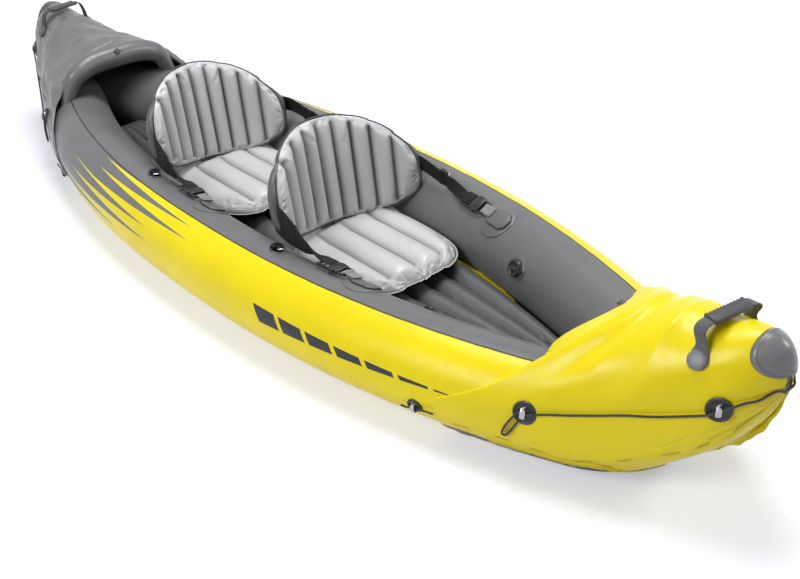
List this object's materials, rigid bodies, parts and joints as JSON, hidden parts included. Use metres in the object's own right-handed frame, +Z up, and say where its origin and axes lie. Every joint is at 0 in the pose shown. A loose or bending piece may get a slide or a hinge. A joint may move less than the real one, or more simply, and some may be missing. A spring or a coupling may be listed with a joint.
{
  "type": "tandem inflatable kayak",
  "caption": "Tandem inflatable kayak: tube sides, fluted floor, end covers held up by ribs, strapped seats with channel backrests, carry handles, grab lines and air valves.",
  "frame": {"origin": "middle of the boat in plan, at the bottom skin's lower face", "axes": "+X to the bow, +Y to port, +Z up"},
  "size_m": [3.191, 0.911, 0.4633],
  "materials": {
    "hull_grey": "satin",
    "bottom_dark": "satin",
    "floor_grey": "satin",
    "cover_yellow": "glossy film",
    "cover_grey": "glossy film",
    "trim_grey": "satin",
    "seat_grey": "satin",
    "webbing": "woven",
    "cord": "braided",
    "fitting_black": "glossy molding",
    "valve_black": "satin"
  },
  "bodies": {
    "hull": {"port_side_chamber": "hull_grey", "starboard_side_chamber": "hull_grey", "bottom_skin": "bottom_dark", "floor_chamber": "floor_grey", "bow_cover": "cover_yellow", "stern_cover": "cover_grey", "bow_rib": "cover_yellow", "stern_rib": "cover_grey", "bow_nose_patch": "trim_grey", "stern_nose_patch": "trim_grey", "bow_handle_anchors": "trim_grey", "stern_handle_anchors": "trim_grey", "bow_line_eyelets": "fitting_black", "stern_line_eyelets": "fitting_black", "side_tie_eyelets": "fitting_black", "bow_grab_line": "cord", "stern_grab_line": "cord", "side_tie_cords": "cord", "front_seat_base": "seat_grey", "rear_seat_base": "seat_grey", "front_seat_hinge": "seat_grey", "rear_seat_hinge": "seat_grey", "front_port_wing": "webbing", "front_starboard_wing": "webbing", "rear_port_wing": "webbing", "rear_starboard_wing": "webbing", "front_ladder_buckles": "fitting_black", "rear_ladder_buckles": "fitting_black", "front_anchor_webs": "webbing", "rear_anchor_webs": "webbing", "front_strap_anchors": "hull_grey", "rear_strap_anchors": "hull_grey", "front_side_ties": "fitting_black", "rear_side_ties": "fitting_black", "port_valve_base": "valve_black", "starboard_valve_base": "valve_black", "floor_valve_base": "valve_black", "bow_rib_valve": "valve_black", "stern_rib_valve": "valve_black", "seat_base_valves": "valve_black"},
    "front_back": {"front_backrest": "seat_grey", "front_backrest_valve": "valve_black"},
    "rear_back": {"rear_backrest": "seat_grey", "rear_backrest_valve": "valve_black"},
    "bow_handle": {"bow_handle_strap": "trim_grey", "bow_handle_grip": "trim_grey"},
    "stern_handle": {"stern_handle_strap": "trim_grey", "stern_handle_grip": "trim_grey"},
    "port_cap": {"port_valve_cap": "valve_black"},
    "starboard_cap": {"starboard_valve_cap": "valve_black"},
    "floor_cap": {"floor_valve_cap": "valve_black"},
    "bow_plug": {"bow_rib_plug": "valve_black"},
    "stern_plug": {"stern_rib_plug": "valve_black"}
  },
  "joints": [
    {"name": "front_backrest_tilt", "type": "hinge", "parent": "hull", "child": "front_back", "pos_m": [0.162, 0, 0.178], "axis": [0, 1, 0], "range_deg": [-15, 5], "deforming": ["front_port_wing", "front_starboard_wing"]},
    {"name": "rear_backrest_tilt", "type": "hinge", "parent": "hull", "child": "rear_back", "pos_m": [-0.464, 0, 0.178], "axis": [0, 1, 0], "range_deg": [-15, 5], "deforming": ["rear_port_wing", "rear_starboard_wing"]},
    {"name": "bow_handle_swing", "type": "hinge", "parent": "hull", "child": "bow_handle", "pos_m": [1.4305, 0, 0.40477], "axis": [0, 1, 0], "range_deg": [-35, 20], "stiffness_Nm_per_rad": 0.08},
    {"name": "stern_handle_swing", "type": "hinge", "parent": "hull", "child": "stern_handle", "pos_m": [-1.4305, 0, 0.40477], "axis": [0, 1, 0], "range_deg": [-20, 35], "stiffness_Nm_per_rad": 0.08},
    {"name": "port_cap_hinge", "type": "hinge", "parent": "hull", "child": "port_cap", "pos_m": [0.7434, 0.13976, 0.17569], "axis": [0.0804, 0.3824, 0.9205], "range_deg": [0, 150]},
    {"name": "starboard_cap_hinge", "type": "hinge", "parent": "hull", "child": "starboard_cap", "pos_m": [0.7434, -0.13976, 0.17569], "axis": [-0.0804, 0.3824, -0.9205], "range_deg": [0, 150]},
    {"name": "floor_cap_hinge", "type": "hinge", "parent": "hull", "child": "floor_cap", "pos_m": [-0.87938, 0, 0.10485], "axis": [0, 1, 0], "range_deg": [0, 150]},
    {"name": "bow_plug_hinge", "type": "hinge", "parent": "hull", "child": "bow_plug", "pos_m": [1.16754, 0.011, 0.34687], "axis": [-0.6157, 0, -0.788], "range_deg": [0, 150]},
    {"name": "stern_plug_hinge", "type": "hinge", "parent": "hull", "child": "stern_plug", "pos_m": [-1.04154, 0.011, 0.37288], "axis": [-0.6157, 0, 0.788], "range_deg": [0, 150]}
  ]
}
